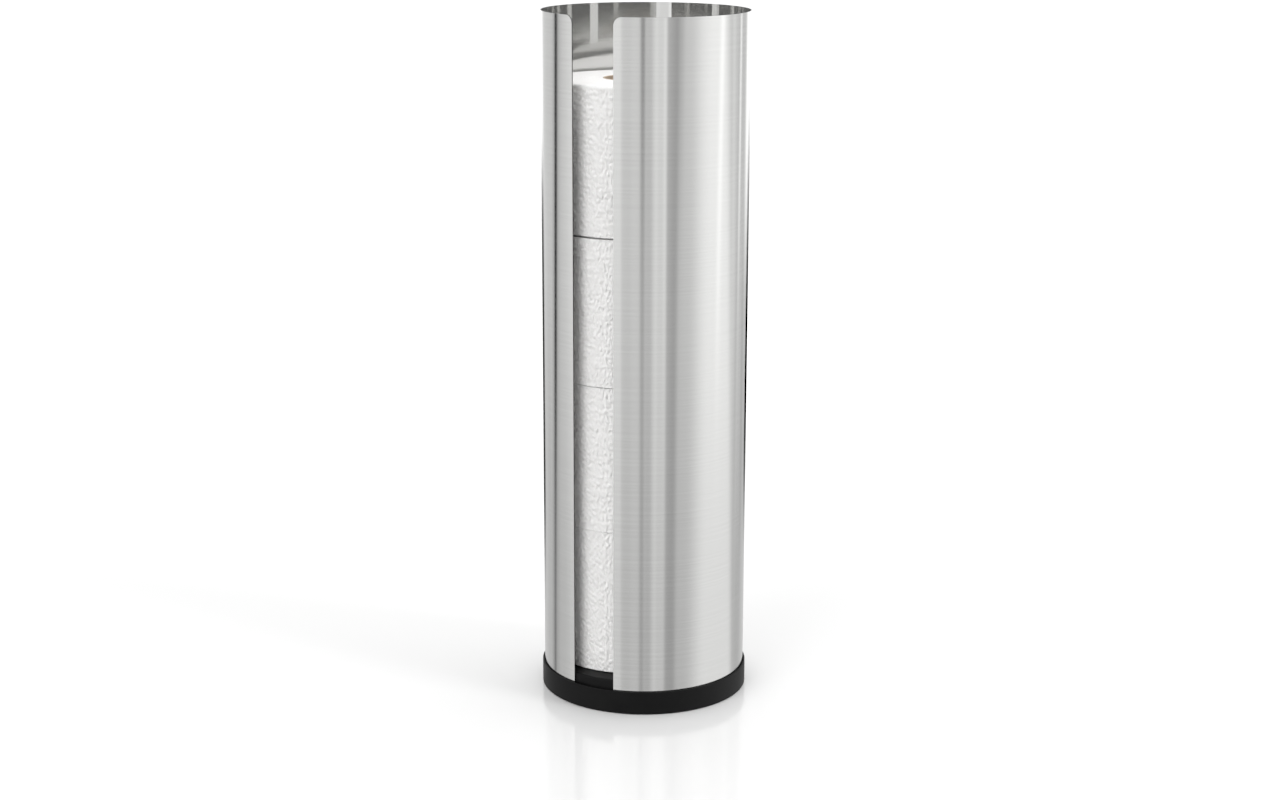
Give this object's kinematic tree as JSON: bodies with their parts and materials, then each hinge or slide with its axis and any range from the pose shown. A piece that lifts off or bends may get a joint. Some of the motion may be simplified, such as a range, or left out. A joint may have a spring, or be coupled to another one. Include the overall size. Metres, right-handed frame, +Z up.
{
  "type": "toilet roll holder",
  "caption": "Free-standing toilet roll holder: a brushed steel tube, open at the top and slotted down its front, stands in a round black base and stores a stack of spare rolls that lift out.",
  "frame": {"origin": "on the floor, under the middle of the round base, which is also the tube's axis", "axes": "+Z up along the tube, -Y out of the slot between the sheet's edges, +X to the right seen from the slot's side"},
  "size_m": [0.143, 0.143, 0.47],
  "materials": {
    "brushed_steel": "satin, brushed round the tube",
    "black_plastic": "matt, smooth moulded",
    "pad_rubber": "matt",
    "toilet_paper": "soft, embossed",
    "core_cardboard": "raw grey-brown board"
  },
  "bodies": {
    "holder": {"tube_sheet": "brushed_steel", "base_moulding": "black_plastic", "pad_1": "pad_rubber", "pad_2": "pad_rubber", "pad_3": "pad_rubber", "pad_4": "pad_rubber"},
    "roll_1": {"paper_roll_1": "toilet_paper", "roll_core_1": "core_cardboard"},
    "roll_2": {"paper_roll_2": "toilet_paper", "roll_core_2": "core_cardboard"},
    "roll_3": {"paper_roll_3": "toilet_paper", "roll_core_3": "core_cardboard"},
    "roll_4": {"paper_roll_4": "toilet_paper", "roll_core_4": "core_cardboard"}
  },
  "joints": [
    {"name": "roll_1_lift", "type": "slide", "parent": "holder", "child": "roll_1", "axis": [0, 0, 1], "range_m": [0, 0.46]},
    {"name": "roll_2_lift", "type": "slide", "parent": "roll_1", "child": "roll_2", "axis": [0, 0, 1], "range_m": [0, 0.36]},
    {"name": "roll_3_lift", "type": "slide", "parent": "roll_2", "child": "roll_3", "axis": [0, 0, 1], "range_m": [0, 0.26]},
    {"name": "roll_4_lift", "type": "slide", "parent": "roll_3", "child": "roll_4", "axis": [0, 0, 1], "range_m": [0, 0.16]}
  ]
}
